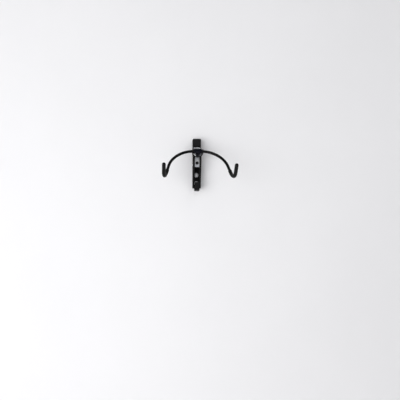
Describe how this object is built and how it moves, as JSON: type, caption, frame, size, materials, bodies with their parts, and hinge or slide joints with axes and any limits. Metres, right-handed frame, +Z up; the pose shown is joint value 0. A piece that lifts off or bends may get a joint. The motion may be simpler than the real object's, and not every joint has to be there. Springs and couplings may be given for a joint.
{
  "type": "horizontal wall bike rack",
  "caption": "Wall rack that holds a bicycle level by its top tube: a steel channel, a levelling hub and an arched bar that folds up, with two sleeved hooks and a helmet hook.",
  "frame": {"origin": "middle of the wall channel's back, on the face of the wall", "axes": "+Z up, +Y into the wall, +X to the right for someone who faces the wall"},
  "size_m": [0.273, 0.2878, 0.2165],
  "materials": {
    "channel_steel": "black powder coat, fine texture, satin",
    "bar_steel": "smooth black powder coat, satin",
    "cap_plastic": "moulded, fine grain",
    "hub_casting": "blue-black paint on a casting, satin",
    "black_oxide": "black oxide on steel, slightly oily",
    "rubber": "soft matt black",
    "nylon": "natural, waxy",
    "zinc": "bright zinc plate, slightly grey"
  },
  "bodies": {
    "frame": {"wall_channel": "channel_steel", "top_cap": "cap_plastic", "saddle_bracket": "zinc", "saddle_rivet_top_left": "zinc", "saddle_rivet_top_right": "zinc", "saddle_rivet_low_left": "zinc", "saddle_rivet_low_right": "zinc", "tie_bolt": "black_oxide", "tie_nut": "zinc", "tie_spacer": "zinc", "bearing_boss": "zinc", "swivel_bush": "nylon", "wall_screw_top": "zinc", "wall_screw_middle": "zinc", "wall_screw_low": "zinc", "wall_washer_top": "zinc", "wall_washer_middle": "zinc", "wall_washer_low": "zinc", "helmet_hook": "channel_steel", "helmet_hook_tip": "rubber"},
    "swivel": {"swivel_plate": "zinc", "plate_screw_left": "black_oxide", "plate_screw_right": "black_oxide", "hub_base": "hub_casting", "hub_cover": "hub_casting", "cover_screw": "black_oxide", "swivel_bolt": "black_oxide", "swivel_washer": "zinc", "swivel_nut": "zinc", "bar_bush_left": "cap_plastic", "bar_bush_right": "cap_plastic"},
    "hook_bar": {"support_bar": "bar_steel", "hook_sleeve_left": "rubber", "hook_sleeve_right": "rubber", "stop_yoke": "bar_steel"}
  },
  "joints": [
    {"name": "level", "type": "hinge", "parent": "frame", "child": "swivel", "pos_m": [0, -0.0749, 0.0384], "axis": [0, 1, 0], "range_deg": [-15, 15]},
    {"name": "fold", "type": "hinge", "parent": "swivel", "child": "hook_bar", "pos_m": [0, -0.09075, 0.039], "axis": [-1, 0, 0], "range_deg": [0, 145]}
  ]
}
